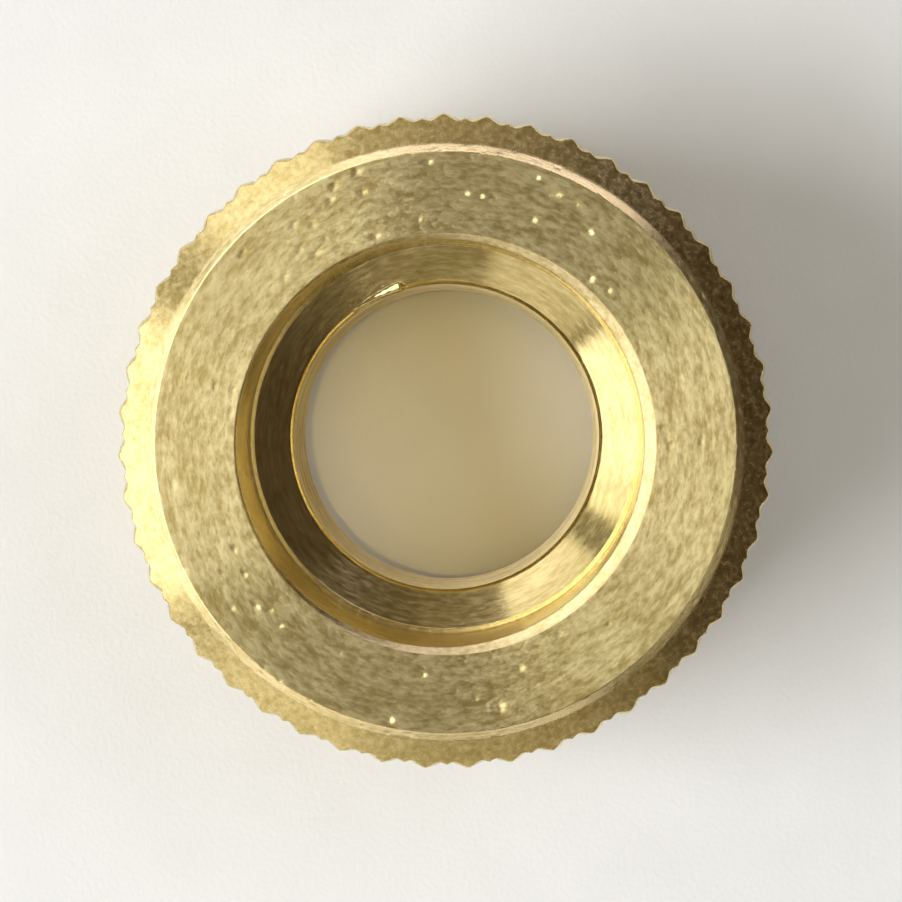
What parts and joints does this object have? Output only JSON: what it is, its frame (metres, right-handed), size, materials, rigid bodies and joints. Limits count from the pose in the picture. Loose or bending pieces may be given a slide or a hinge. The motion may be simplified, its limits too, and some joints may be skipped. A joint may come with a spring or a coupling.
{
  "type": "knurled thumb nut",
  "caption": "Round knurled brass thumb nut with a threaded through bore and a round recess with a coned seat in one face.",
  "frame": {"origin": "on the nut's axis, in the middle of the plain face that it stands on", "axes": "+Z along the axis, out of the recessed face; +X and +Y are free, because the nut is round"},
  "size_m": [0.0188, 0.0188, 0.008],
  "materials": {
    "turned_brass": "satin, as turned, with fine concentric tool marks"
  },
  "bodies": {
    "root": {"knurled_nut": "turned_brass"}
  },
  "joints": []
}
